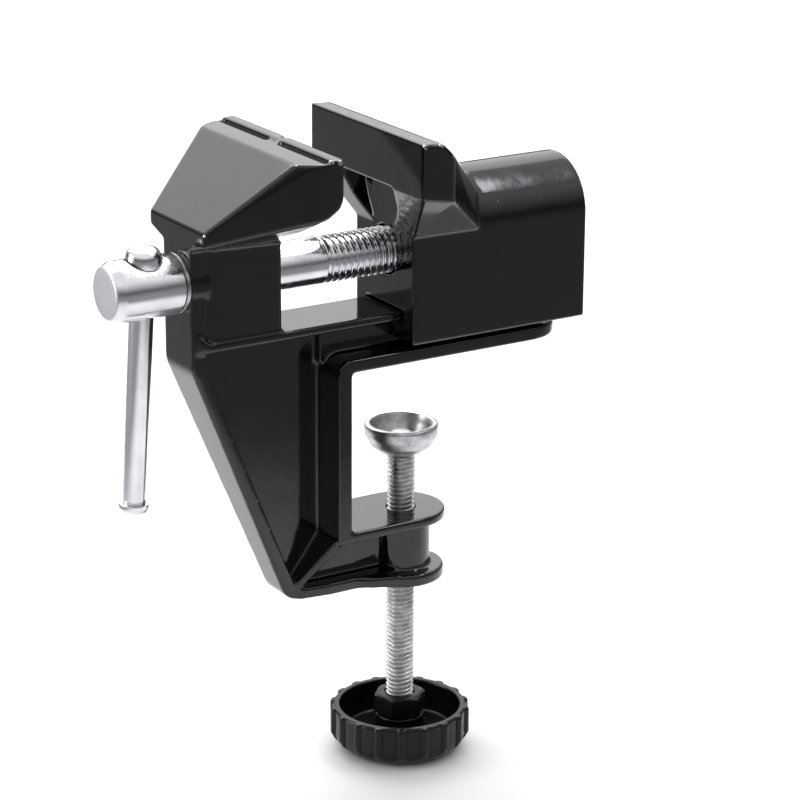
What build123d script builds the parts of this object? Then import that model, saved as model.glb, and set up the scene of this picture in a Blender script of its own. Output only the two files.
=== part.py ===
from build123d import *
import math
import os
from itertools import combinations

# Small clamp-on bench vise, millimetres.
# Origin: the clamp screw's axis on the face that rests on the bench top.
# +X runs along the main screw from the handle towards the sliding jaw, +Z is up.

# ---- driving dimensions ----------------------------------------------------
jaw_half_width = 22.4
jaw_top_z = 49.3
fixed_face_x = -27.3
moving_face_x = -9.0
jaw_face_bottom_z = 38.4
moving_top_z = 49.8
plate_back_x = -1.8

handle_face_x = -53.1            # handle side of the column and of the wedge
wedge_toe_half_width = 11.4
wedge_toe_top_z = 34.8
wedge_toe_bottom_z = 31.9
wedge_flat_x = -36.7             # where the slope meets the flat top
wedge_flat_z = 48.7
wedge_full_width_x = -33.0
lip_back_x = -30.3
groove_width = 0.9
groove_depth = 0.9
vee_half_width = 1.3

neck_start_x = -49.3
neck_end_x = -32.4
neck_half_width = 6.8
neck_corner_radius = 1.4

screw_axis_z = 22.45
screw_radius = 5.0               # M10
screw_end_x = 26.5
screw_running_gap = 0.08
head_radius = 6.35
head_front_x = -69.3
head_back_x = -54.0
head_bevel_length = 1.9
head_bevel_depth = 1.0
washer_thickness = 0.8
washer_back_x = handle_face_x - 0.02
retainer_x = -42.0
retainer_radius = 1.25
retainer_groove_depth = 1.25

bar_axis_x = -60.9
bar_radius = 2.5
bar_tilt_deg = 7.1               # the bar hangs a little off plumb
bar_top_from_axis = 5.0          # along the bar, from the screw's axis
bar_bottom_from_axis = 47.3
bar_hole_gap = 0.09
bar_spigot_radius = 1.7
bar_spigot_length = 1.8
bar_cap_radius = 3.7
bar_cap_top_radius = 2.75
bar_cap_height = 3.6
bar_end_cap_radius = 3.35
bar_end_cap_height = 2.4
spot_face_radius = 4.1           # flats that the caps sit in, at both ends of the cross hole
spot_face_from_axis = 4.93

rail_half_width = 7.2
rail_top_z = 10.6
rail_plate_thickness = 1.9
rail_web_half_width = 3.0
rail_end_x = 34.0
rest_plate_thickness = 2.8
throat_half_width = 9.5
rest_end_x = 36.8
throat_face_x = -17.7
throat_wall = 3.4
arm_top_z = -35.3
arm_plate_thickness = 2.2
arm_bottom_z = -50.0
arm_flange_thickness = 2.5
arm_half_width = 5.2
rib_half_thickness = 0.95
boss_radius = 6.3
disc_radius = 9.3
disc_thickness = 2.7
disc_drop = 0.8                 # the disc stands a little below the flange

flange_half_width = 6.0
flange_foot_half_width = 3.9
flange_thickness = 3.2
knee_z = 4.9
corner_x = -30.4
web_near_y = -1.0
web_far_y = 3.0

body_front_x = -4.4
body_back_x = 38.9
body_half_width = 11.5
body_bottom_z = 4.25
body_arch_z = 26.8
body_wall = 3.3
front_wall_end_x = 9.2
slide_gap = 0.25

nut_across_flats = 16.0          # M10 hexagon nut
nut_front_x = 1.2
nut_thickness = 8.0

rod_radius = 3.0                 # M6
rod_gap = 0.06
pad_top_z = -16.3
pad_radius = 8.0
pad_height = 6.4
pad_wall = 1.5
pad_neck_radius = 2.2
pad_hole_radius = 2.6
pad_ring_gap = 0.45

knob_radius = 14.7
knob_rib_count = 18
knob_rib_radius = 0.95
knob_rib_inset = 0.25            # rib axis inside the rim
knob_top_z = -81.5
knob_bottom_z = -91.2
knob_dish_radius = 13.1
knob_dish_depth = 7.0
lock_nut_across_flats = 10.0     # M6 hexagon nut
lock_nut_thickness = 5.0
lock_nut_top_z = -78.6


# ---- small helpers ---------------------------------------------------------
def box_between(low, high):
    """Box from its low corner to its high corner."""
    size = [b - a for a, b in zip(low, high)]
    centre = [(a + b) / 2 for a, b in zip(low, high)]
    return Pos(*centre) * Box(*size)


def rod_between(start, end, radius):
    """Round bar from one point to another."""
    start, end = Vector(*start), Vector(*end)
    plane = Plane(origin=start, z_dir=end - start)
    return extrude(plane * Circle(radius), (end - start).length)


def along_x(radius, x0, x1, z=screw_axis_z):
    """Round bar along X at the main screw's height."""
    return rod_between((x0, 0, z), (x1, 0, z), radius)


def upright(radius, z0, z1):
    """Round bar along the clamp screw's axis."""
    return rod_between((0, 0, z0), (0, 0, z1), radius)


def side_plate(points, y0, y1):
    """Plate cut to an outline of (x, z) points, from y0 to y1."""
    outline = Face(Wire.make_polygon([(x, y0, z) for x, z in points], close=True))
    return extrude(outline, amount=y1 - y0, dir=(0, 1, 0))


def mirrored(points):
    """The points, and the same points on the other side of the XZ plane."""
    return points + [(x, -y, z) for x, y, z in points]


def hull(points):
    """Solid with flat faces that wraps the points, like a faceted casting."""
    corners = [Vector(*p) for p in points]
    faces = {}
    for a, b, c in combinations(corners, 3):
        normal = (b - a).cross(c - a)
        if normal.length < 1e-6:
            continue
        normal = normal.normalized()
        heights = [normal.dot(p - a) for p in corners]
        if max(heights) > 1e-4 and min(heights) < -1e-4:
            continue
        if max(heights) > 1e-4:
            normal = normal * -1
            heights = [-h for h in heights]
        members = frozenset(i for i, h in enumerate(heights) if h > -1e-4)
        faces[members] = normal
    shell = []
    for members, normal in faces.items():
        ring = [corners[i] for i in members]
        middle = sum(ring, Vector(0, 0, 0)) / len(ring)
        across = (ring[0] - middle).normalized()
        up = normal.cross(across)
        ring.sort(key=lambda p: math.atan2((p - middle).dot(up), (p - middle).dot(across)))
        shell.append(Face(Wire.make_polygon(ring, close=True)))
    return Solid(Shell(shell))


def turned(profile, axis=Axis.Z):
    """Solid of revolution from an outline of points in the XZ plane."""
    outline = Face(Wire.make_polygon([(r, 0, z) for r, z in profile], close=True))
    return revolve(outline, axis=axis)


def hexagon_nut(across_flats, thickness, bore_radius):
    """Hexagon nut standing on the XY plane, with its corners turned off on both ends."""
    corner_radius = across_flats / math.sqrt(3)
    blank = extrude(RegularPolygon(across_flats / 2, 6, major_radius=False), thickness)
    chamfer_drop = (corner_radius - across_flats / 2) * 0.6
    outline = [
        (0, 0),
        (across_flats / 2, 0),
        (corner_radius + 0.01, chamfer_drop),
        (corner_radius + 0.01, thickness - chamfer_drop),
        (across_flats / 2, thickness),
        (0, thickness),
    ]
    return (blank & turned(outline)) - Pos(0, 0, thickness / 2) * Cylinder(bore_radius, thickness + 2)


def cross_edge(plate, x, z):
    """The plate's edge across Y that lies nearest to a point of its outline."""
    return plate.edges().filter_by(Axis.Y).sort_by_distance((x, 0, z))[0]


# ---- frame casting ---------------------------------------------------------
def flange_x(z):
    """Outer face of the frame's back flange: upright, then sloping under the throat."""
    slope = (corner_x - handle_face_x) / (knee_z - arm_bottom_z)
    return handle_face_x + max(0.0, knee_z - z) * slope


def fixed_jaw():
    """Wedge head: a narrow toe at the handle side widens to the full jaw."""
    body = hull(mirrored([
        (handle_face_x, wedge_toe_half_width, wedge_toe_top_z),
        (handle_face_x, wedge_toe_half_width, wedge_toe_bottom_z),
        (handle_face_x, neck_half_width, wedge_toe_bottom_z - 1.5),
        (wedge_flat_x, 19.6, wedge_flat_z),
        (wedge_full_width_x, 22.2, wedge_flat_z),
        (wedge_full_width_x, 22.2, 37.0),
        (-30.8, jaw_half_width, 37.6),
        (-28.4, jaw_half_width, 39.2),
        (fixed_face_x, jaw_half_width, wedge_flat_z),
        (fixed_face_x, jaw_half_width, 41.6),
        (fixed_face_x, 20.0, 38.9),
        (neck_end_x, neck_half_width, 29.6),
        (fixed_face_x, neck_half_width, 32.2),
    ]))
    lip = box_between((lip_back_x, -jaw_half_width, wedge_flat_z - 1),
                      (fixed_face_x, jaw_half_width, jaw_top_z))
    lip = fillet(lip.edges().filter_by(Axis.Y).group_by(Axis.Z)[-1], 0.28)
    groove = box_between((lip_back_x - groove_width, 2.0, wedge_flat_z - groove_depth),
                         (lip_back_x, jaw_half_width - 0.8, jaw_top_z))
    groove += mirror(groove, Plane.XZ)
    vee = hull([
        (fixed_face_x + 0.5, vee_half_width + 0.5, 30), (fixed_face_x + 0.5, -vee_half_width - 0.5, 30),
        (fixed_face_x - vee_half_width, 0, 30),
        (fixed_face_x + 0.5, vee_half_width + 0.5, 51), (fixed_face_x + 0.5, -vee_half_width - 0.5, 51),
        (fixed_face_x - vee_half_width, 0, 51),
    ])
    return body + lip - groove - vee


def neck():
    """Set-back block under the wedge that carries the main screw."""
    length = neck_end_x - neck_start_x
    plan = Pos((neck_start_x + neck_end_x) / 2, 0, rail_top_z - 1)
    block = plan * extrude(RectangleRounded(length, 2 * neck_half_width, neck_corner_radius), 22.5)
    boss = along_x(head_radius, handle_face_x, neck_start_x + 1)
    return block + boss


def back_flange():
    """Narrow flange down the handle side and along the bottom to the clamp boss."""
    inner_bottom_z = arm_bottom_z + arm_flange_thickness
    inner_corner_x = flange_x(inner_bottom_z) + flange_thickness * 1.05
    outline = [
        (handle_face_x, wedge_toe_bottom_z),
        (handle_face_x, knee_z),
        (flange_x(arm_bottom_z), arm_bottom_z),
        (-2, arm_bottom_z),
        (-2, inner_bottom_z),
        (inner_corner_x, inner_bottom_z),
        (handle_face_x + flange_thickness, knee_z - 0.7),
        (handle_face_x + flange_thickness, wedge_toe_bottom_z),
    ]
    plate = side_plate(outline, -flange_half_width, flange_half_width)
    plate = fillet([cross_edge(plate, flange_x(arm_bottom_z), arm_bottom_z)], 4.6)
    plate = fillet([cross_edge(plate, handle_face_x, knee_z)], 9.0)
    taper = hull([(x, y, z) for x in (handle_face_x - 1, 0) for y, z in (
        (flange_half_width, knee_z), (flange_half_width + 1, knee_z),
        (flange_half_width + 1, arm_bottom_z - 1), (flange_foot_half_width, arm_bottom_z - 1),
    )])
    foot = hull(mirrored([(x, half, z) for z in (arm_bottom_z, inner_bottom_z) for x, half in (
        (corner_x + 2.8, flange_foot_half_width + 0.4), (-21, arm_half_width), (-14, arm_half_width),
    )]))
    arm = box_between((-14, -arm_half_width, arm_bottom_z), (-2, arm_half_width, inner_bottom_z))
    return plate - taper - mirror(taper, Plane.XZ) + foot + arm


def web():
    """Thin wall that fills the frame between the flanges, nearer the far side."""
    outline = [
        (handle_face_x + 1, rail_top_z - 0.5),
        (handle_face_x + 1, knee_z),
        (flange_x(-44) + 1, -44),
        (corner_x + 3, arm_bottom_z + 1),
        (-4, arm_bottom_z + 1),
        (-4, arm_top_z - 1),
        (throat_face_x - 1, arm_top_z - 1),
        (throat_face_x - 1, 1),
        (throat_face_x - 1, rail_top_z - 0.5),
    ]
    return side_plate(outline, web_near_y, web_far_y)


def corner_gusset():
    """Small slanted fillings where the back flange meets the rail's ledge, on both sides."""
    top, low = 13.2, rail_top_z - rail_plate_thickness
    corner = [
        (handle_face_x + 0.3, flange_half_width - 0.1, top),
        (handle_face_x + 0.3, flange_half_width - 0.1, low),
        (-49.6, rail_half_width, rail_top_z), (-49.6, rail_half_width, low),
        (-49.6, flange_half_width - 0.1, 11.4),
    ]
    return hull(mirrored(corner))


def throat_band():
    """Wide band round the throat: rest plate, throat wall and the arm's top plate."""
    back_x = throat_face_x - throat_wall
    outline = [
        (back_x, rest_plate_thickness),
        (rest_end_x, rest_plate_thickness),
        (rest_end_x, 0),
        (throat_face_x, 0),
        (throat_face_x, arm_top_z),
        (throat_half_width, arm_top_z),
        (throat_half_width, arm_top_z - arm_plate_thickness),
        (back_x, arm_top_z - arm_plate_thickness),
    ]
    band = side_plate(outline, -throat_half_width, throat_half_width)
    band = fillet([cross_edge(band, back_x, rest_plate_thickness)], 3.4)
    band = fillet([cross_edge(band, throat_face_x, z) for z in (0, arm_top_z)], 0.9)
    # both plates end in a half round
    for end_x, low, high in (
        (rest_end_x, -1, rest_plate_thickness + 1),
        (throat_half_width, arm_top_z - arm_plate_thickness - 1, arm_top_z + 1),
    ):
        centre_x = end_x - throat_half_width
        square = box_between((centre_x, -throat_half_width - 1, low),
                             (end_x + 1, throat_half_width + 1, high))
        round_end = rod_between((centre_x, 0, low), (centre_x, 0, high), throat_half_width)
        band -= square - round_end
    return band


def diagonal_rib():
    """Rib from the throat's lower corner to the frame's outer corner."""
    top = (throat_face_x - 2.2, arm_top_z - 1.0)
    foot = (corner_x + 2.4, arm_bottom_z + 2.6)
    run = Vector(foot[0] - top[0], foot[1] - top[1], 0).normalized()
    across = (-run.Y * rib_half_thickness, run.X * rib_half_thickness)
    points = []
    for (x, z), half in ((top, throat_half_width), (foot, flange_foot_half_width)):
        for side in (-1, 1):
            points.append((x + side * across[0], half, z + side * across[1]))
    return hull(mirrored(points))


def clamp_boss():
    """Boss for the clamp screw, with the disc under it that the bottom flange runs into."""
    low = arm_bottom_z - disc_drop
    boss = upright(boss_radius, arm_bottom_z, arm_top_z - 0.5)
    disc = upright(disc_radius, low, low + disc_thickness)
    flare = hull(mirrored([
        (-14, arm_half_width, arm_bottom_z), (-14, arm_half_width, arm_bottom_z + 2.2),
        (-3.6, 8.3, low), (-3.6, 8.3, low + disc_thickness),
    ]))
    return boss + disc + flare


def rail():
    """Tee-shaped bed that the sliding jaw wraps round."""
    plate = box_between((neck_start_x, -rail_half_width, rail_top_z - rail_plate_thickness),
                        (rail_end_x, rail_half_width, rail_top_z))
    bed_web = box_between((throat_face_x - throat_wall - 0.8, -rail_web_half_width, 1),
                          (rail_end_x, rail_web_half_width, rail_top_z - 0.5))
    return plate + bed_web


def frame_casting():
    """The whole frame in one piece, with its three bores."""
    frame = fixed_jaw() + neck() + back_flange() + web() + throat_band()
    frame += diagonal_rib()
    frame += corner_gusset()
    frame += clamp_boss()
    frame += rail()
    frame -= along_x(screw_radius + screw_running_gap, handle_face_x - 5, neck_end_x + 5)
    frame -= upright(rod_radius + rod_gap, arm_bottom_z - disc_drop - 5, arm_top_z + 5)
    pin_z = screw_axis_z - screw_radius
    frame -= rod_between((retainer_x, -neck_half_width + 2, pin_z),
                         (retainer_x, neck_half_width + 5, pin_z), retainer_radius + 0.01)
    return frame


# ---- main screw and its parts ----------------------------------------------
def bar_direction():
    """Unit vector down the hanging bar."""
    tilt = math.radians(bar_tilt_deg)
    return Vector(0, math.sin(tilt), -math.cos(tilt))


def bar_point(distance):
    """Point on the bar's axis, this far below the main screw's axis."""
    point = Vector(bar_axis_x, 0, screw_axis_z) + bar_direction() * distance
    return (point.X, point.Y, point.Z)


def main_screw():
    """Lead screw with its round head, the bar's cross hole and the retainer's groove."""
    head = along_x(head_radius, head_front_x, head_back_x)
    front = head.edges().filter_by(GeomType.CIRCLE).sort_by(Axis.X)[0]
    head = chamfer([front], head_bevel_length, head_bevel_depth)
    shank = along_x(screw_radius, head_back_x - 1, screw_end_x)
    tip = shank.edges().filter_by(GeomType.CIRCLE).sort_by(Axis.X)[-1]
    shank = chamfer([tip], 1.0)
    screw = head + shank
    screw -= rod_between(bar_point(-12), bar_point(12), bar_radius + bar_hole_gap)
    screw -= rod_between(bar_point(-12), bar_point(-spot_face_from_axis), spot_face_radius)
    screw -= rod_between(bar_point(spot_face_from_axis), bar_point(12), spot_face_radius)
    half = retainer_radius + 0.08
    ring = along_x(screw_radius + 1, retainer_x - half, retainer_x + half)
    core = along_x(screw_radius - retainer_groove_depth - 0.05, retainer_x - half, retainer_x + half)
    return screw - (ring - core)


def thrust_washer():
    """Steel washer between the screw's head and the frame."""
    start = washer_back_x - washer_thickness
    ring = along_x(head_radius - 0.15, start, washer_back_x)
    return ring - along_x(screw_radius + 0.1, start - 1, washer_back_x + 1)


def retaining_pin():
    """Pin in a blind hole from the far side that keeps the screw from pulling out."""
    pin_z = screw_axis_z - screw_radius
    return rod_between((retainer_x, -neck_half_width + 2.4, pin_z),
                       (retainer_x, neck_half_width - 0.2, pin_z), retainer_radius)


def tommy_bar():
    """Sliding handle bar with a thinner spigot at each end for its caps."""
    bar = rod_between(bar_point(-bar_top_from_axis), bar_point(bar_bottom_from_axis), bar_radius)
    return bar + rod_between(bar_point(-bar_top_from_axis - bar_spigot_length),
                             bar_point(bar_bottom_from_axis + bar_spigot_length), bar_spigot_radius)


def bar_cap(distance, outward, radius, top_radius, height):
    """Cap pressed on one end of the bar; it stops the bar in the head's spot face."""
    outline = [(0, 0), (radius, 0), (radius, height * 0.5)]
    steps = 5
    for i in range(1, steps + 1):
        angle = math.radians(90 * i / steps)
        outline.append((top_radius + (radius - top_radius) * math.cos(angle),
                        height * (0.5 + 0.5 * math.sin(angle))))
    outline.append((0, height))
    cap = turned(outline) - Cylinder(bar_spigot_radius + 0.01, 2 * bar_spigot_length + 0.04)
    plane = Plane(origin=bar_point(distance), x_dir=(1, 0, 0), z_dir=bar_direction() * outward)
    return plane.location * cap


# ---- sliding jaw -----------------------------------------------------------
def arch(half_width, x0, x1, bottom_z):
    """Bar along X with straight sides and a half-round top."""
    lower = box_between((x0, -half_width, bottom_z), (x1, half_width, body_arch_z))
    return lower + along_x(half_width, x0, x1, body_arch_z)


def jaw_plate():
    """Jaw plate, and the facets that carry it back and down to the body."""
    plate = hull(mirrored([
        (moving_face_x, jaw_half_width, moving_top_z),
        (moving_face_x, jaw_half_width, jaw_face_bottom_z),
        (-4.4, jaw_half_width, moving_top_z - 0.3),
        (plate_back_x, jaw_half_width, 46.9),
        (plate_back_x, jaw_half_width, 37.2),
        (body_front_x, body_half_width, 27.4),
        (11.8, body_half_width, 27.2),
        (12.8, 8.8, 34.4),
        (12.8, 4.0, 37.6),
    ]))
    step = hull(mirrored([
        (moving_face_x - 0.6, 10.6, jaw_face_bottom_z),
        (body_front_x, 8.5, jaw_face_bottom_z),
        (body_front_x, 6.0, 32.2),
        (body_front_x, 3.0, 27.0),
        (moving_face_x - 0.6, 9.0, 27.0),
    ]))
    return plate - step


def sliding_jaw():
    """Hollow body on the rail, open at the back, with the jaw plate cast on its front."""
    jaw = arch(body_half_width, body_front_x, body_back_x, body_bottom_z) + jaw_plate()
    slot_top = rail_top_z + slide_gap
    slot_floor = rail_top_z - rail_plate_thickness - slide_gap
    jaw -= arch(body_half_width - body_wall, front_wall_end_x, body_back_x + 5, slot_floor)
    jaw -= box_between((body_front_x - 5, -rail_half_width - slide_gap, slot_floor),
                       (body_back_x + 5, rail_half_width + slide_gap, slot_top))
    jaw -= box_between((body_front_x - 5, -rail_web_half_width - slide_gap, 0),
                       (body_back_x + 5, rail_web_half_width + slide_gap, slot_top))
    jaw -= along_x(screw_radius + 0.3, body_front_x - 8, front_wall_end_x + 5)
    pocket = hexagon_prism(nut_across_flats + 0.04, nut_front_x, front_wall_end_x + 1)
    return jaw - pocket


def hexagon_prism(across_flats, x0, x1):
    """Hexagonal bar along the main screw's axis, with two flats upright."""
    plane = Plane(origin=(x0, 0, screw_axis_z), x_dir=(0, 1, 0), z_dir=(1, 0, 0))
    return extrude(plane * RegularPolygon(across_flats / 2, 6, major_radius=False, rotation=30), x1 - x0)


def jaw_nut():
    """Steel hexagon nut held in the sliding jaw's front wall."""
    nut = hexagon_nut(nut_across_flats, nut_thickness, screw_radius + 0.06)
    plane = Plane(origin=(nut_front_x, 0, screw_axis_z), x_dir=(0, 1, 0), z_dir=(1, 0, 0))
    return plane.location * (Rot(0, 0, 30) * nut)


# ---- bench clamp -----------------------------------------------------------
pad_floor_z = pad_top_z - pad_height + pad_wall


def swivel_pad():
    """Round cup that presses on the underside of the bench top."""
    bottom = pad_top_z - pad_height
    outline = [
        (pad_hole_radius, bottom),
        (4.6, bottom),
        (6.6, bottom + 1.6),
        (pad_radius - 0.2, bottom + 3.9),
        (pad_radius, pad_top_z - 0.6),
        (pad_radius - 0.5, pad_top_z),
        (pad_radius - 1.5, pad_top_z),
        (pad_radius - 1.8, pad_top_z - 2.0),
        (5.2, pad_floor_z + 0.6),
        (4.4, pad_floor_z),
        (pad_hole_radius, pad_floor_z),
    ]
    return turned(outline)


def pad_retaining_ring():
    """Washer under the screw's peened end that keeps the pad on."""
    low = pad_floor_z + pad_ring_gap
    return upright(3.9, low, low + 0.7) - upright(pad_neck_radius + 0.1, low - 1, low + 2)


def clamp_screw():
    """M6 clamp screw with a neck and a peened end inside the pad."""
    shoulder_z = pad_top_z - pad_height - 0.3
    ring_top = pad_floor_z + pad_ring_gap + 0.75
    rod = upright(rod_radius, knob_bottom_z + 2.4, shoulder_z)
    ends = rod.edges().filter_by(GeomType.CIRCLE)
    rod = chamfer([ends.sort_by(Axis.Z)[-1]], 0.45)
    neck_part = upright(pad_neck_radius, shoulder_z - 1, ring_top + 0.6)
    peen = turned([(0, ring_top), (3.1, ring_top), (3.0, ring_top + 0.9), (2.0, ring_top + 1.6),
                   (0, ring_top + 1.9)])
    return rod + neck_part + peen


def clamp_knob():
    """Moulded dished knob with ribs round its rim."""
    floor_z = knob_top_z - knob_dish_depth
    hub_top = lock_nut_top_z - lock_nut_thickness
    outline = [
        (0, knob_bottom_z),
        (knob_radius - 3.6, knob_bottom_z),
        (knob_radius - 1.9, knob_bottom_z + 0.7),
        (knob_radius - 0.6, knob_bottom_z + 2.0),
        (knob_radius, knob_bottom_z + 4.0),
        (knob_radius, knob_top_z - 0.5),
        (knob_radius - 0.4, knob_top_z),
        (knob_dish_radius + 0.2, knob_top_z),
        (knob_dish_radius, knob_top_z - 0.4),
        (knob_dish_radius - 0.5, floor_z),
        (5.6, floor_z),
        (5.3, hub_top),
        (0, hub_top),
    ]
    knob = turned(outline)
    for i in range(knob_rib_count):
        angle = math.radians(360 * (i + 0.5) / knob_rib_count)
        x = (knob_radius - knob_rib_inset) * math.cos(angle)
        y = (knob_radius - knob_rib_inset) * math.sin(angle)
        rib = rod_between((x, y, knob_bottom_z + 2.6), (x, y, knob_top_z - 0.35), knob_rib_radius)
        knob += rib
    return knob - upright(rod_radius + 0.02, knob_bottom_z + 2.3, knob_top_z + 5)


def knob_lock_nut():
    """M6 nut that locks the knob on the screw."""
    nut = hexagon_nut(lock_nut_across_flats, lock_nut_thickness - 0.02, rod_radius + 0.02)
    return Pos(0, 0, lock_nut_top_z - lock_nut_thickness + 0.02) * (Rot(0, 0, 17) * nut)


# ---- write one file for each piece -----------------------------------------
parts = {
    "frame_casting": frame_casting(),
    "sliding_jaw": sliding_jaw(),
    "jaw_nut": jaw_nut(),
    "main_screw": main_screw(),
    "thrust_washer": thrust_washer(),
    "retaining_pin": retaining_pin(),
    "tommy_bar": tommy_bar(),
    "bar_top_cap": bar_cap(-bar_top_from_axis, -1, bar_cap_radius, bar_cap_top_radius, bar_cap_height),
    "bar_bottom_cap": bar_cap(bar_bottom_from_axis, 1, bar_end_cap_radius, bar_cap_top_radius,
                              bar_end_cap_height),
    "clamp_screw": clamp_screw(),
    "swivel_pad": swivel_pad(),
    "pad_retaining_ring": pad_retaining_ring(),
    "clamp_knob": clamp_knob(),
    "knob_lock_nut": knob_lock_nut(),
}

os.makedirs("parts", exist_ok=True)
for name, shape in parts.items():
    export_step(shape, f"parts/{name}.step")
    box = shape.bounding_box()
    print(name, [round(v, 2) for v in (*box.min, *box.max)])
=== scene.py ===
import math

import bmesh
import bpy
import numpy as np
from mathutils import Matrix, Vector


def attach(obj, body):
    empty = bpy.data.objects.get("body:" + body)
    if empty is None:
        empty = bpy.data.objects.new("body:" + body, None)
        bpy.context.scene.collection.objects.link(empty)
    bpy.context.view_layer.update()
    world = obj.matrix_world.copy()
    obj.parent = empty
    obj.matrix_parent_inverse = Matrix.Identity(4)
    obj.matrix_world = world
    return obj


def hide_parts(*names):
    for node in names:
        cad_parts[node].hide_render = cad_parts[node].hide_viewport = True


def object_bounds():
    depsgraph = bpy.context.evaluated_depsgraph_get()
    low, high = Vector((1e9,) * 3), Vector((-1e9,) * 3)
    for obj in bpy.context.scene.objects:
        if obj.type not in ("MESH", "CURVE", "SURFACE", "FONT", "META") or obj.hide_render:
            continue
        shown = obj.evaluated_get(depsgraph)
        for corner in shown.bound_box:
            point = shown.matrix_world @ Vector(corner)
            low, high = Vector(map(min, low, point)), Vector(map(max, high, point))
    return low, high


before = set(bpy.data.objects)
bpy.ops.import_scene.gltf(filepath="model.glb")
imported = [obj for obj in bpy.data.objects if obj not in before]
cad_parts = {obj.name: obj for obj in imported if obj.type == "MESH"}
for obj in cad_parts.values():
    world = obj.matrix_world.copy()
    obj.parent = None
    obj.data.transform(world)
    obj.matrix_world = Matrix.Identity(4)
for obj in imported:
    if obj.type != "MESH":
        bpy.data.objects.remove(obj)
cad_low, cad_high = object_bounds()

# ---- frame casting ----------------------------------------------------------
# The jaw-shaped wedge, its column, the back flange, the rail and the clamp arm are one
# casting. Its edges are softly rounded, as they come from the mould, and it is sprayed
# with thick glossy black enamel.
MM = 0.001
casting_voxel = 0.27 * MM
casting_triangles = 190000


def rounded_casting(node, name):
    """A copy of a CAD solid laid on a fine grid of cells and then relaxed, so that each sharp
    edge and inside corner becomes a small cast radius."""
    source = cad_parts[node]
    mesh = source.data.copy()
    soft = bmesh.new()
    soft.from_mesh(mesh)
    bmesh.ops.remove_doubles(soft, verts=soft.verts, dist=2e-6)
    soft.to_mesh(mesh)
    soft.free()
    piece = bpy.data.objects.new(name, mesh)
    bpy.context.scene.collection.objects.link(piece)
    grid = piece.modifiers.new("grid", "REMESH")
    grid.mode = "VOXEL"
    grid.voxel_size = casting_voxel
    relax = piece.modifiers.new("relax", "SMOOTH")
    relax.factor = 0.5
    relax.iterations = 20
    apply_modifiers(piece)
    triangles = 2 * len(piece.data.polygons)
    if triangles > casting_triangles:
        thin = piece.modifiers.new("thin", "DECIMATE")
        thin.ratio = casting_triangles / triangles
        apply_modifiers(piece)
    piece.data.shade_smooth()
    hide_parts(node)
    return piece


def apply_modifiers(piece):
    """Puts the result of a piece's modifiers into its own mesh."""
    result = piece.evaluated_get(bpy.context.evaluated_depsgraph_get())
    mesh = bpy.data.meshes.new_from_object(result)
    piece.modifiers.clear()
    piece.data = mesh


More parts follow.
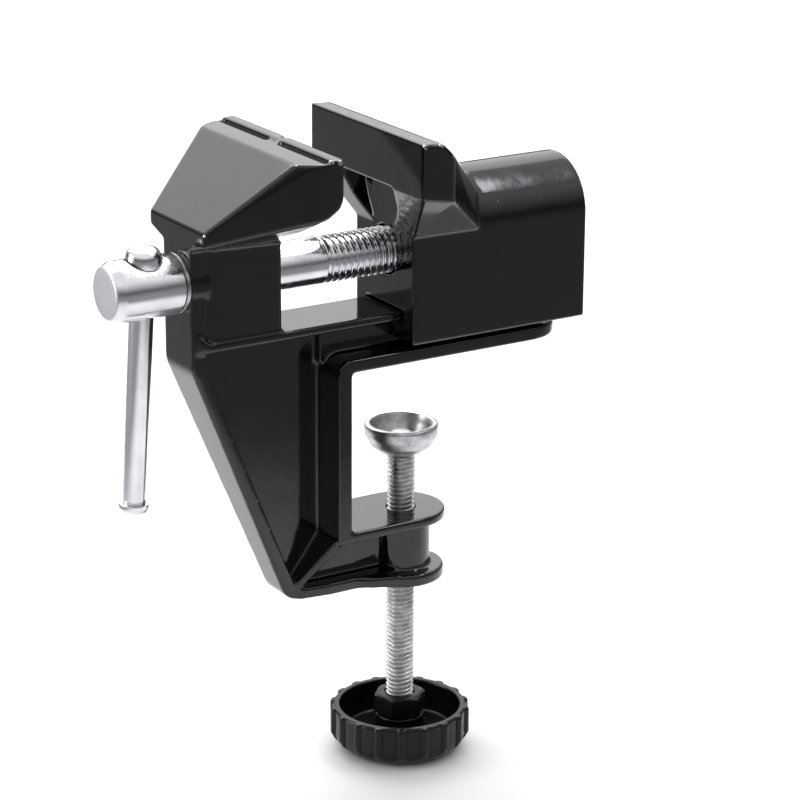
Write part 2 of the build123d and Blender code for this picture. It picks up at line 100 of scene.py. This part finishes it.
class Finish:
    """One material and the short calls that its nodes are wired with."""

    def __init__(self, name, colour, roughness, metallic=0.0):
        self.material = bpy.data.materials.new(name)
        self.material.use_nodes = True
        self.tree = self.material.node_tree
        self.shader = self.tree.nodes["Principled BSDF"]
        self.shader.inputs["Base Color"].default_value = (*colour, 1)
        self.shader.inputs["Roughness"].default_value = roughness
        self.shader.inputs["Metallic"].default_value = metallic
        self.position = self.tree.nodes.new("ShaderNodeTexCoord").outputs["Object"]

    def link(self, out, into):
        self.tree.links.new(out, into)

    def place(self, scale=(1, 1, 1), move=(0, 0, 0), turn=(0, 0, 0)):
        """Object position, moved, turned and stretched."""
        node = self.tree.nodes.new("ShaderNodeMapping")
        node.inputs["Location"].default_value = move
        node.inputs["Rotation"].default_value = turn
        node.inputs["Scale"].default_value = scale
        self.link(self.position, node.inputs["Vector"])
        return node.outputs["Vector"]

    def noise(self, scale, detail=2.0, rough=0.5, at=None):
        """Cloudy noise; scale is in features per metre."""
        node = self.tree.nodes.new("ShaderNodeTexNoise")
        node.inputs["Scale"].default_value = scale
        node.inputs["Detail"].default_value = detail
        node.inputs["Roughness"].default_value = rough
        self.link(at or self.position, node.inputs["Vector"])
        return node.outputs["Fac"]

    def cells(self, scale, at=None):
        """Distance to the nearest of many scattered points; scale is in points per metre."""
        node = self.tree.nodes.new("ShaderNodeTexVoronoi")
        node.inputs["Scale"].default_value = scale
        self.link(at or self.position, node.inputs["Vector"])
        return node.outputs["Distance"]

    def span(self, value, low, high, out_low=0.0, out_high=1.0, smooth=False):
        """Value carried from low..high to out_low..out_high, clamped."""
        node = self.tree.nodes.new("ShaderNodeMapRange")
        node.interpolation_type = "SMOOTHSTEP" if smooth else "LINEAR"
        self.link(value, node.inputs["Value"])
        for socket, number in (("From Min", low), ("From Max", high), ("To Min", out_low),
                               ("To Max", out_high)):
            node.inputs[socket].default_value = number
        return node.outputs["Result"]

    def math(self, operation, a, b):
        """One sum on two values; b may be a number."""
        node = self.tree.nodes.new("ShaderNodeMath")
        node.operation = operation
        self.link(a, node.inputs[0])
        if isinstance(b, (int, float)):
            node.inputs[1].default_value = b
        else:
            self.link(b, node.inputs[1])
        return node.outputs["Value"]

    def blend(self, share, first, second):
        """Mix of two colours or colour outputs by share."""
        node = self.tree.nodes.new("ShaderNodeMix")
        node.data_type = "RGBA"
        self.link(share, node.inputs[0])
        for socket, colour in ((node.inputs[6], first), (node.inputs[7], second)):
            if isinstance(colour, tuple):
                socket.default_value = (*colour, 1)
            else:
                self.link(colour, socket)
        return node.outputs[2]

    def near(self, point, radius):
        """1 at a point and 0 at a radius from it."""
        node = self.tree.nodes.new("ShaderNodeVectorMath")
        node.operation = "DISTANCE"
        self.link(self.position, node.inputs[0])
        node.inputs[1].default_value = point
        return self.span(node.outputs["Value"], 0.0, radius, 1.0, 0.0, smooth=True)

    def bump(self, *layers):
        """Bumps chained from (height output, depth in metres) pairs."""
        normal = None
        for height, depth in layers:
            node = self.tree.nodes.new("ShaderNodeBump")
            node.inputs["Strength"].default_value = 1.0
            node.inputs["Distance"].default_value = depth
            self.link(height, node.inputs["Height"])
            if normal is not None:
                self.link(normal, node.inputs["Normal"])
            normal = node.outputs["Normal"]
        self.link(normal, self.shader.inputs["Normal"])

    def on(self, piece, slot):
        piece.data.materials.clear()
        piece.data.materials.append(self.material)


def black_enamel(name, nicks):
    """Glossy black enamel: slow waviness and fine orange peel in the height, cloudy gloss,
    paler dusty patches, and small bare nicks where the edges were struck."""
    f = Finish(name, (0.010, 0.009, 0.012), 0.2)
    cloud = f.noise(70, 4.0, 0.55)
    patch = f.span(f.noise(190, 5.0, 0.65), 0.42, 0.72)
    colour = f.blend(f.span(cloud, 0.35, 0.7), (0.0014, 0.0012, 0.0019), (0.0026, 0.0022, 0.0036))
    colour = f.blend(f.math("MULTIPLY", patch, 0.3), colour, (0.007, 0.0065, 0.009))
    edge = f.tree.nodes.new("ShaderNodeNewGeometry").outputs["Pointiness"]
    worn = f.math("MULTIPLY", f.span(edge, 0.56, 0.62), f.span(f.noise(420, 3.0, 0.7), 0.66, 0.72))
    for point, radius in nicks:
        local = f.math("MULTIPLY", f.near(point, radius), f.span(f.noise(900, 3.0, 0.6), 0.42, 0.5))
        worn = f.math("MAXIMUM", worn, f.span(local, 0.32, 0.42))
    colour = f.blend(worn, colour, (0.52, 0.51, 0.52))
    f.link(colour, f.shader.inputs["Base Color"])
    f.link(worn, f.shader.inputs["Metallic"])
    gloss = f.span(f.noise(240, 4.0, 0.6), 0.3, 0.75, 0.07, 0.15)
    f.link(f.math("ADD", gloss, f.math("MULTIPLY", worn, 0.18)), f.shader.inputs["Roughness"])
    f.shader.inputs["IOR"].default_value = 1.52
    f.shader.inputs["Coat Weight"].default_value = 0.35
    f.shader.inputs["Coat Roughness"].default_value = 0.05
    f.bump((f.noise(120, 1.0, 0.4), 0.00009), (f.noise(700, 2.0, 0.5), 0.000012),
           (f.cells(420), 0.000008), (worn, -0.00005))
    f.shader.inputs["Specular Tint"].default_value = (0.94, 0.93, 1.0, 1)
    return f


frame_body = rounded_casting("frame_casting", "vise_frame")
frame_nicks = [((-0.0302, -0.0218, 0.0489), 0.0011), ((-0.0283, -0.0222, 0.0486), 0.0010),
               ((-0.0366, -0.0197, 0.0485), 0.0008), ((-0.0531, -0.0115, 0.0347), 0.0008)]
frame_enamel = black_enamel("black_enamel_frame", frame_nicks)
frame_enamel.on(frame_body, "black_paint")
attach(frame_body, "frame")

# ---- moving jaw -------------------------------------------------------------
# A second casting, with the same enamel. It is a hollow arched body open at the back,
# with the wide jaw plate on its front, and it straddles the rail.
jaw_body = rounded_casting("sliding_jaw", "moving_jaw")
jaw_nicks = [((-0.0086, -0.0222, 0.0495), 0.0012), ((-0.0048, -0.0221, 0.0494), 0.0014),
             ((-0.0018, -0.0223, 0.0468), 0.0008), ((-0.0072, -0.0150, 0.0498), 0.0007)]
jaw_enamel = black_enamel("black_enamel_jaw", jaw_nicks)
jaw_enamel.on(jaw_body, "black_paint")
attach(jaw_body, "sliding_jaw")

# ---- main screw -------------------------------------------------------------
# A turned steel screw with bright chrome plating: a round head with a bevelled front and a
# cross hole for the bar, a smooth shank through the frame, and an M10 thread with a
# 1.5 mm pitch that runs in the nut of the moving jaw.
screw_axis = (0, 0, 22.45)


def axis_frame(along):
    """Three unit vectors: the axis itself and two square to it and to each other."""
    along = np.array(along, float) / np.linalg.norm(along)
    side = np.cross(along, (0, 0, 1) if abs(along[2]) < 0.9 else (1, 0, 0))
    side /= np.linalg.norm(side)
    return along, side, np.cross(along, side)


def turned(name, steps, radii, origin, along, columns=96, closed=False):
    """Surface round an axis. Point (row, column) is the origin plus the row's step along the
    axis plus its radius at the angle 2 pi column / columns. Radii are one per row, or one per
    row and column. The ends close on a point, or the last row meets the first if closed."""
    steps = np.asarray(steps, float)
    radii = np.asarray(radii, float)
    if radii.ndim == 1:
        radii = np.repeat(radii[:, None], columns, axis=1)
    columns = radii.shape[1]
    if steps.ndim == 1:
        steps = np.repeat(steps[:, None], columns, axis=1)
    along, side, other = axis_frame(along)
    angle = np.linspace(0, 2 * np.pi, columns, endpoint=False)
    ring = np.cos(angle)[:, None] * side + np.sin(angle)[:, None] * other
    points = np.array(origin, float) + steps[..., None] * along + radii[..., None] * ring
    rows = len(steps)
    points = points.reshape(-1, 3)
    index = np.arange(rows * columns).reshape(rows, columns)
    following = np.roll(index, -1, axis=1)
    last = rows if closed else rows - 1
    upper = np.roll(index, -1, axis=0)[:last]
    upper_following = np.roll(following, -1, axis=0)[:last]
    quads = np.stack([index[:last], following[:last], upper_following, upper], -1)
    faces = quads.reshape(-1, 4).tolist()
    if not closed:
        for row in (0, rows - 1):
            middle = len(points)
            centre = points[index[row]].mean(axis=0)
            points = np.vstack([points, centre])
            fan = np.stack([index[row], following[row], np.full(columns, middle)], -1)
            faces += fan.tolist()
    mesh = bpy.data.meshes.new(name)
    mesh.from_pydata((points * MM).tolist(), [], faces)
    tidy = bmesh.new()
    tidy.from_mesh(mesh)
    bmesh.ops.remove_doubles(tidy, verts=tidy.verts, dist=1e-7)
    bmesh.ops.recalc_face_normals(tidy, faces=tidy.faces)
    tidy.to_mesh(mesh)
    tidy.free()
    mesh.shade_smooth()
    mesh.set_sharp_from_angle(angle=math.radians(34))
    piece = bpy.data.objects.new(name, mesh)
    bpy.context.scene.collection.objects.link(piece)
    return piece


def softened(points, radius, steps=5):
    """An outline whose corners are rounded. Each corner becomes the curve that leaves it by
    the radius along both of its sides, drawn through steps + 1 points; the ends stay."""
    points = np.array(points, float)
    before, corner, after = points[:-2], points[1:-1], points[2:]
    cut = np.broadcast_to(np.asarray(radius, float), (len(corner),))
    reach_in = np.minimum(cut, 0.48 * np.linalg.norm(before - corner, axis=1))
    reach_out = np.minimum(cut, 0.48 * np.linalg.norm(after - corner, axis=1))
    unit_in = (before - corner) / np.linalg.norm(before - corner, axis=1)[:, None]
    unit_out = (after - corner) / np.linalg.norm(after - corner, axis=1)[:, None]
    t = np.linspace(0, 1, steps + 1)[None, :, None]
    start = (corner + unit_in * reach_in[:, None])[:, None, :]
    end = (corner + unit_out * reach_out[:, None])[:, None, :]
    curve = (1 - t) ** 2 * start + 2 * t * (1 - t) * corner[:, None, :] + t ** 2 * end
    return np.vstack([points[:1], curve.reshape(-1, 2), points[-1:]])


def thread_radii(steps, columns, pitch, major, minor, start, end, fade):
    """Radius of a right-hand thread at each row and column: between minor and major by a
    triangle wave of (step / pitch - angle), with flat crests and roots, and faded out to
    the major radius near its start."""
    angle = np.arange(columns) / columns
    phase = (steps[:, None] / pitch - angle[None, :]) % 1.0
    wave = np.clip((np.abs(phase - 0.5) * 2 - 0.1) / 0.76, 0, 1)
    wave = wave * wave * (3 - 2 * wave) * 0.35 + wave * 0.65
    depth = np.clip((steps - start) / fade, 0, 1) * np.clip((end - steps) / fade + 0.35, 0, 1)
    return major - (major - minor) * (1 - wave) * depth[:, None]


head_outline = softened([
    (-69.3, 0), (-69.3, 5.3), (-67.4, 6.35), (-54.35, 6.35), (-54.0, 6.0), (-54.0, 4.98),
    (-21.3, 4.98), (-21.3, 0),
], [0.5, 0.35, 0.22, 0.1, 0.1, 0.1])
head_rows = np.vstack([
    np.column_stack([np.linspace(a[0], b[0], max(2, int(abs(b[0] - a[0]) / 0.6)), endpoint=False),
                     np.linspace(a[1], b[1], max(2, int(abs(b[0] - a[0]) / 0.6)), endpoint=False)])
    for a, b in zip(head_outline[:-1], head_outline[1:])] + [head_outline[-1:]])
head = turned("screw_head", head_rows[:, 0], head_rows[:, 1], screw_axis, (1, 0, 0), 128)

bar_tilt = math.radians(7.1)
bar_centre = np.array([-60.9, 0, 22.45])
bar_down = np.array([0, math.sin(bar_tilt), -math.cos(bar_tilt)])
cross_hole = turned("cross_hole_cutter", [-12, -5.35, -4.93, -4.93, 4.93, 4.93, 5.35, 12],
                    [4.12, 4.12, 4.0, 2.59, 2.59, 4.0, 4.12, 4.12], bar_centre, bar_down, 72)
drill = head.modifiers.new("cross_hole", "BOOLEAN")
drill.object = cross_hole
drill.operation = "DIFFERENCE"
drill.solver = "EXACT"
apply_modifiers(head)
head.data.set_sharp_from_angle(angle=math.radians(30))
bpy.data.objects.remove(cross_hole)

thread_steps = np.concatenate([[-21.35], np.linspace(-21.3, 25.7, 620), [25.9, 26.2, 26.5, 26.5]])
thread_surface = thread_radii(thread_steps, 72, 1.5, 5.0, 4.1, -21.0, 26.4, 1.1)
thread_surface[-4:] = np.minimum(thread_surface[-4:], np.array([4.75, 4.4, 4.1, 3.9])[:, None])
thread = turned("screw_thread", thread_steps, thread_surface, screw_axis, (1, 0, 0))


def chrome_plate(name, along, dark=0.0, face_x=None):
    """Bright plated steel: very small turning lines round the axis, faint haze, and rubbed
    and freckled patches where hands and the bar touch it. An end face at face_x is duller."""
    f = Finish(name, (0.74, 0.745, 0.76), 0.1, 1.0)
    haze = f.noise(160, 5.0, 0.6)
    f.link(f.blend(f.span(haze, 0.35, 0.75), (0.86, 0.86, 0.87), (0.70, 0.70, 0.72)),
           f.shader.inputs["Base Color"])
    stretch = tuple(2600 if abs(a) > 0.7 else 60 for a in along)
    lines = f.noise(1.0, 2.0, 0.5, at=f.place(stretch))
    freckle = f.span(f.noise(1900, 4.0, 0.7), 0.55, 0.72)
    rough = f.math("ADD", f.span(haze, 0.3, 0.75, 0.07 + dark, 0.2 + dark),
                   f.math("MULTIPLY", freckle, 0.16))
    if face_x is not None:
        split = f.tree.nodes.new("ShaderNodeSeparateXYZ")
        f.link(f.position, split.inputs[0])
        face = f.span(split.outputs["X"], face_x, face_x + 0.0003, 0.3, 0.0)
        rough = f.math("ADD", rough, face)
    f.link(rough, f.shader.inputs["Roughness"])
    f.bump((lines, 0.000004), (freckle, -0.000008), (f.noise(110, 2.0, 0.5), 0.00005))
    return f


screw_chrome = chrome_plate("chrome_main_screw", (1, 0, 0), face_x=-0.0691)
for piece in (head, thread):
    screw_chrome.on(piece, "chrome")
    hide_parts("main_screw")
    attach(piece, "main_screw")

# ---- thrust washer and retaining pin ----------------------------------------
# A plain steel washer takes the screw's pull behind the head, and a hardened pin, driven
# across the casting, sits in a groove of the shank and keeps the screw from coming out.
washer_outline = softened([(-53.52, 5.05), (-53.92, 5.05), (-53.92, 6.2), (-53.12, 6.2),
                           (-53.12, 5.05), (-53.52, 5.05)], 0.14, 3)
washer = turned("thrust_washer_ring", washer_outline[:-1, 0], washer_outline[:-1, 1], screw_axis,
                (1, 0, 0), closed=True)


def bare_steel(name, colour, low, high):
    """Bare machined steel: cloudy tone, fine scratches and a little staining."""
    f = Finish(name, colour, 0.3, 1.0)
    stain = f.span(f.noise(330, 5.0, 0.65), 0.45, 0.75)
    f.link(f.blend(stain, colour, tuple(0.55 * c for c in colour)), f.shader.inputs["Base Color"])
    f.link(f.span(f.noise(520, 4.0, 0.6), 0.3, 0.8, low, high), f.shader.inputs["Roughness"])
    f.bump((f.noise(1.0, 2.0, 0.5, at=f.place((400, 2400, 2400))), 0.000006),
           (f.noise(600, 3.0, 0.6), 0.00002))
    return f


washer_steel = bare_steel("bright_steel_washer", (0.52, 0.52, 0.53), 0.2, 0.42)
washer_steel.on(washer, "bright_steel")
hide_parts("thrust_washer")
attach(washer, "frame")
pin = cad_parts["retaining_pin"]
washer_steel.on(pin, "bright_steel")

# ---- handle bar and its caps -------------------------------------------------
# A plain chromed rod slides through the head's cross hole. A cap is pressed on each end and
# keeps it there: the upper one sits in the head's spot face, where the bar hangs.
bar_outline = softened([(-6.8, 0), (-6.8, 1.7), (-5.0, 1.7), (-5.0, 2.5), (47.3, 2.5),
                        (47.3, 1.7), (49.1, 1.7), (49.1, 0)], 0.12, 3)
bar = turned("handle_bar", bar_outline[:, 0], bar_outline[:, 1], bar_centre, bar_down, 64)
top_outline = softened([(-5.0, 0), (-5.0, 3.7), (-6.7, 3.7), (-7.9, 3.3), (-8.6, 2.4), (-8.6, 0)],
                       [0.15, 0.9, 0.9, 0.9], 6)
top_cap = turned("bar_cap_upper", top_outline[:, 0], top_outline[:, 1], bar_centre, bar_down, 72)
end_outline = softened([(47.3, 0), (47.3, 3.35), (48.5, 3.35), (49.4, 2.9), (49.7, 2.2),
                        (49.7, 0)], [0.15, 0.7, 0.5, 0.4], 6)
end_cap = turned("bar_cap_lower", end_outline[:, 0], end_outline[:, 1], bar_centre, bar_down, 72)
bar_chrome = chrome_plate("chrome_bar", (0, 0, 1), 0.02)
for piece, node in ((bar, "tommy_bar"), (top_cap, "bar_top_cap"), (end_cap, "bar_bottom_cap")):
    bar_chrome.on(piece, "chrome")
    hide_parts(node)
    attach(piece, "tommy_bar")

# ---- nut inside the moving jaw -----------------------------------------------
# A plain M10 hexagon nut is pressed into a pocket behind the jaw plate, and the main screw
# pulls the jaw along by it. Its corners are chamfered, as on any nut.


def hexagon_radii(steps, columns, across_flats, bevel, turn=0.0):
    """Radius of a hexagon at each column, the half width over the cosine of the angle from
    the nearest flat's middle, held inside a cone at both ends that takes the corners off."""
    angle = np.arange(columns) / columns * 2 * np.pi + turn
    flat = (angle + np.pi / 6) % (np.pi / 3) - np.pi / 6
    hexagon = across_flats / 2 / np.cos(flat)
    from_end = np.minimum(steps - steps.min(), steps.max() - steps)
    cone = across_flats / 2 - bevel * 0.55 + from_end * 1.9
    return np.minimum(hexagon[None, :], cone[:, None])


def hexagon_nut(name, low, high, across_flats, bore, origin, along, turn=0.0):
    """Closed surface of a nut: out along one face, up the flats, in along the other face and
    back down the bore."""
    outer = np.concatenate([np.linspace(low, low + 0.9, 7), np.linspace(high - 0.9, high, 7)])
    steps = np.concatenate([[low + 0.35, low], outer, [high, high - 0.35]])
    columns = 144
    ends = np.full((2, columns), bore) + np.array([[0.0], [0.4]])
    radii = np.vstack([ends, hexagon_radii(outer, columns, across_flats, 0.9, turn), ends[::-1]])
    return turned(name, steps, radii, origin, along, columns, closed=True)


jaw_nut = hexagon_nut("jaw_thread_nut", 1.22, 9.18, 15.98, 5.04, screw_axis, (1, 0, 0))
nut_steel = bare_steel("bright_steel_jaw_nut", (0.42, 0.42, 0.43), 0.25, 0.45)
nut_steel.on(jaw_nut, "bright_steel")
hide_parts("jaw_nut")
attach(jaw_nut, "sliding_jaw")

# ---- swivel pad and its ring ---------------------------------------------------
# A pressed and zinc plated cup bears on the underside of the bench top. It tilts on the
# screw's neck, and a washer under the peened end holds it on.
pad_outline = softened([
    (-22.2, 2.6), (-22.7, 2.6), (-22.7, 4.6), (-21.1, 6.6), (-18.8, 7.8), (-16.9, 8.0),
    (-16.3, 7.75), (-16.3, 6.6), (-18.3, 6.2), (-20.6, 5.2), (-21.2, 4.4), (-21.2, 2.6),
    (-22.2, 2.6),
], 0.55, 4)
pad = turned("pad_cup", pad_outline[:-1, 0], pad_outline[:-1, 1], (0, 0, 0), (0, 0, 1), closed=True)
ring_outline = softened([(-20.4, 2.3), (-20.75, 2.3), (-20.75, 3.9), (-20.05, 3.9), (-20.05, 2.3),
                         (-20.4, 2.3)], 0.12, 3)
ring = turned("pad_washer", ring_outline[:-1, 0], ring_outline[:-1, 1], (0, 0, 0), (0, 0, 1),
              closed=True)


def zinc_plate(name):
    """Zinc plated steel: a dull grey metal with a mottled tone and soft, uneven gloss."""
    f = Finish(name, (0.5, 0.51, 0.53), 0.4, 1.0)
    mottle = f.noise(480, 5.0, 0.65)
    f.link(f.blend(f.span(mottle, 0.35, 0.7), (0.74, 0.74, 0.75), (0.38, 0.38, 0.39)),
           f.shader.inputs["Base Color"])
    f.link(f.span(f.noise(260, 4.0, 0.6), 0.3, 0.75, 0.26, 0.46), f.shader.inputs["Roughness"])
    f.bump((mottle, 0.00003), (f.noise(1500, 3.0, 0.6), 0.00001))
    return f


zinc = zinc_plate("zinc_plate_finish")
for piece, node, body in ((pad, "swivel_pad", "swivel_pad"), (ring, "pad_retaining_ring", "pad_ring")):
    zinc.on(piece, "zinc_plate")
    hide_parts(node)
    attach(piece, body)

# ---- clamp screw ---------------------------------------------------------------
# A zinc plated M6 screw with a 1 mm pitch runs up through the threaded boss. Its top is
# turned down to a neck for the pad and peened over inside it.
rod_steps = np.concatenate([[-88.0], np.linspace(-88.0, -23.6, 1030), [-23.5, -23.2, -23.0]])
rod_surface = thread_radii(rod_steps, 60, 1.0, 3.0, 2.3, -88.0, -23.3, 0.8)
rod_surface[-3:] = np.minimum(rod_surface[-3:], np.array([2.75, 2.5, 2.3])[:, None])
rod = turned("clamp_rod_thread", rod_steps, rod_surface, (0, 0, 0), (0, 0, 1))
neck_outline = softened([(-23.6, 0), (-23.6, 2.2), (-20.0, 2.2), (-20.0, 3.1), (-19.1, 3.0),
                         (-18.4, 2.0), (-18.1, 0)], [0.1, 0.1, 0.1, 0.4, 0.5], 5)
neck = turned("clamp_rod_neck", neck_outline[:, 0], neck_outline[:, 1], (0, 0, 0), (0, 0, 1), 64)
for piece in (rod, neck):
    zinc.on(piece, "zinc_plate")
    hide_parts("clamp_screw")
    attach(piece, "clamp_screw")

# ---- knob ------------------------------------------------------------------------
# A moulded black plastic hand wheel, dished on top round its hub, with 18 narrow ribs round
# the rim for grip.
rib_columns = 360


def knob_surface():
    """Steps and radii of the dished wheel: its outline is turned round the axis, and the rim
    swells by a rounded rib at 18 equal angles, fading at the rim's upper and lower edge."""
    outline = softened([
        (-91.2, 0), (-91.2, 11.1), (-90.5, 12.8), (-89.2, 14.1), (-87.2, 14.7),
        (-82.0, 14.7), (-81.5, 14.3), (-81.5, 13.3), (-81.9, 13.1), (-88.5, 12.6),
        (-88.5, 5.6), (-83.58, 5.3), (-83.58, 0),
    ], [0.6, 0.6, 0.6, 0.8, 0.35, 0.3, 0.2, 0.35, 0.7, 0.6, 0.35], 5)
    side = np.linspace(-88.2, -82.4, 14)
    low = outline[(outline[:, 0] < -87.1) & (np.arange(len(outline)) < 26)]
    cut = int(np.argmax((outline[:, 0] > -83.5)))
    rows = np.vstack([low, np.column_stack([side[side > low[-1, 0]],
                                            np.full((side > low[-1, 0]).sum(), 14.7)]),
                      outline[cut:]])
    angle = np.arange(rib_columns) / rib_columns * 2 * np.pi
    turn = (angle * 18 / (2 * np.pi)) % 1.0 - 0.5
    width = 0.95 * 18 / (2 * np.pi * 14.7)
    rib = np.sqrt(np.clip(1 - (turn / width) ** 2, 0, 1)) ** 0.8
    order = np.arange(len(rows))
    crest = int(np.argmax(rows[:, 0] >= -81.51))
    height = np.where(order < crest, np.clip((rows[:, 0] + 89.2) / 1.8, 0, 1)
                      * np.clip((-81.25 - rows[:, 0]) / 0.45, 0, 1), 0.0)
    height *= rows[:, 1] > 13.6
    radii = rows[:, 1][:, None] + 0.7 * np.sqrt(height)[:, None] * rib[None, :]
    return rows[:, 0], radii


knob_steps, knob_radii = knob_surface()
knob = turned("knob_wheel", knob_steps, knob_radii, (0, 0, 0), (0, 0, 1))


def moulded_black(name):
    """Black moulded plastic: satin, with a faint pebble from the mould, pale dust caught on
    it, and a rubbed shine."""
    f = Finish(name, (0.012, 0.012, 0.013), 0.35)
    f.shader.inputs["Specular IOR Level"].default_value = 0.28
    dust = f.span(f.noise(700, 5.0, 0.7), 0.52, 0.78)
    f.link(f.blend(dust, (0.002, 0.002, 0.0025), (0.008, 0.008, 0.009)),
           f.shader.inputs["Base Color"])
    f.link(f.span(f.noise(300, 4.0, 0.6), 0.3, 0.75, 0.16, 0.3), f.shader.inputs["Roughness"])
    f.bump((f.noise(1300, 3.0, 0.6), 0.00003), (f.noise(160, 2.0, 0.5), 0.0001))
    return f


knob_plastic = moulded_black("black_plastic_knob")
knob_plastic.on(knob, "black_plastic")
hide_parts("clamp_knob")
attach(knob, "clamp_screw")

# ---- lock nut on the knob ----------------------------------------------------------
# A blackened M6 hexagon nut is run down on the hub and locks the wheel on the screw.
lock_nut = hexagon_nut("knob_nut", -83.56, -78.6, 10.0, 3.05, (0, 0, 0), (0, 0, 1),
                       math.radians(17))


def black_oxide(name):
    """Blackened steel: nearly black metal with a blue-brown cast and rubbed edges."""
    f = Finish(name, (0.04, 0.04, 0.043), 0.35, 0.7)
    rubbed = f.span(f.noise(800, 5.0, 0.7), 0.55, 0.75)
    f.link(f.blend(rubbed, (0.010, 0.010, 0.011), (0.05, 0.048, 0.046)),
           f.shader.inputs["Base Color"])
    f.link(f.span(f.noise(420, 4.0, 0.6), 0.3, 0.75, 0.26, 0.45), f.shader.inputs["Roughness"])
    f.bump((f.noise(900, 3.0, 0.6), 0.00003))
    return f


nut_oxide = black_oxide("black_oxide_nut")
nut_oxide.on(lock_nut, "black_nut")
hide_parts("knob_lock_nut")
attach(lock_nut, "clamp_screw")

# ---- floor, light and camera --------------------------------------------------------
# The vise stands on a plain floor in soft studio light: large softboxes behind it and above,
# a narrow strip above, and one at the handle side. The floor's colour holds painted light: a
# long pale painted pool of light along the view and dark painted shade beyond it, so that the
# black enamel keeps its depth.
floor_size = 6.0
floor_z = cad_low[2] - 0.0002
floor_mesh = bpy.data.meshes.new("pale_floor")
corner = floor_size / 2
floor_mesh.from_pydata([(-corner, -corner, floor_z), (corner, -corner, floor_z),
                        (corner, corner, floor_z), (-corner, corner, floor_z)], [], [(0, 1, 2, 3)])
floor = bpy.data.objects.new("pale_floor", floor_mesh)
bpy.context.scene.collection.objects.link(floor)
paper = Finish("paper_painted_light_pool", (0.77, 0.77, 0.78), 0.7)
# Painted pool of light: the floor's colour is pale inside a long ellipse along the view and darkens to
# painted shade outside it.
painted_light_pool = paper.place((1.15, 0.24, 1), (0.53, 0.848, 0), (0, 0, math.radians(58)))
painted_light_pool.node.vector_type = "TEXTURE"
fade = paper.tree.nodes.new("ShaderNodeVectorMath")
fade.operation = "LENGTH"
paper.link(painted_light_pool, fade.inputs[0])
outside_painted_light_pool = paper.span(fade.outputs["Value"], 0.97, 1.25, smooth=True)
paper.link(paper.blend(outside_painted_light_pool, (0.76, 0.76, 0.77), (0.19, 0.19, 0.2)),
           paper.shader.inputs["Base Color"])
paper.shader.inputs["Specular IOR Level"].default_value = 0.2
floor.data.materials.append(paper.material)


def softbox(name, place, aim, size, power):
    """Rectangular area light at a place, turned to its aim."""
    data = bpy.data.lights.new(name, "AREA")
    data.shape = "RECTANGLE"
    data.size, data.size_y = size
    data.energy = power
    lamp = bpy.data.objects.new(name, data)
    bpy.context.scene.collection.objects.link(lamp)
    lamp.location = place
    away = np.array(place, float) - np.array(aim, float)
    lamp.rotation_euler = (math.atan2(math.hypot(away[0], away[1]), away[2]), 0,
                           math.atan2(away[0], -away[1]))


softbox("softbox_behind", (0.45, 1.35, 0.85), (0, 0, 0.1), (2.2, 1.3), 9)
softbox("softbox_overhead", (0.1, 0.6, 0.95), (0.05, 0.3, 0), (1.0, 1.0), 8)
softbox("strip_overhead", (0.62, 0.1, 1.15), (0, 0, 0.03), (1.5, 0.13), 5)
softbox("softbox_handle_side", (-1.4, 0.6, 0.3), (0, 0, 0), (0.9, 0.9), 11.5)

world = bpy.data.worlds.new("soft_room")
world.use_nodes = True
air = world.node_tree
split = air.nodes.new("ShaderNodeSeparateXYZ")
air.links.new(air.nodes.new("ShaderNodeTexCoord").outputs["Generated"], split.inputs[0])
rise = air.nodes.new("ShaderNodeMapRange")
rise.inputs["From Min"].default_value = 0.12
rise.inputs["From Max"].default_value = 0.6
rise.inputs["To Min"].default_value = 0.14
rise.inputs["To Max"].default_value = 0.95
air.links.new(split.outputs["Z"], rise.inputs["Value"])
air.links.new(rise.outputs["Result"], air.nodes["Background"].inputs["Strength"])
air.nodes["Background"].inputs["Color"].default_value = (0.97, 0.98, 1.0, 1)
bpy.context.scene.world = world
bpy.context.scene.view_settings.view_transform = "Standard"

camera_data = bpy.data.cameras.new("camera")
camera_data.lens = 134.34
camera_data.sensor_width = 36
camera = bpy.data.objects.new("camera", camera_data)
bpy.context.scene.collection.objects.link(camera)
heading = math.radians(32.03)
height = math.radians(18.39)
roll = math.radians(0.335)
back = np.array([-math.sin(heading) * math.cos(height), -math.cos(heading) * math.cos(height),
                 math.sin(height)])
level = np.array([math.cos(heading), -math.sin(heading), 0])
upright = np.cross(back, level)
right = math.cos(roll) * level + math.sin(roll) * upright
upward = math.cos(roll) * upright - math.sin(roll) * level
aim = np.array([-0.00205, -0.00276, -0.01031])
place = aim + back * 0.63125
camera.matrix_world = Matrix([[right[i], upward[i], back[i], place[i]] for i in range(3)]
                             + [[0, 0, 0, 1]])
bpy.context.scene.camera = camera
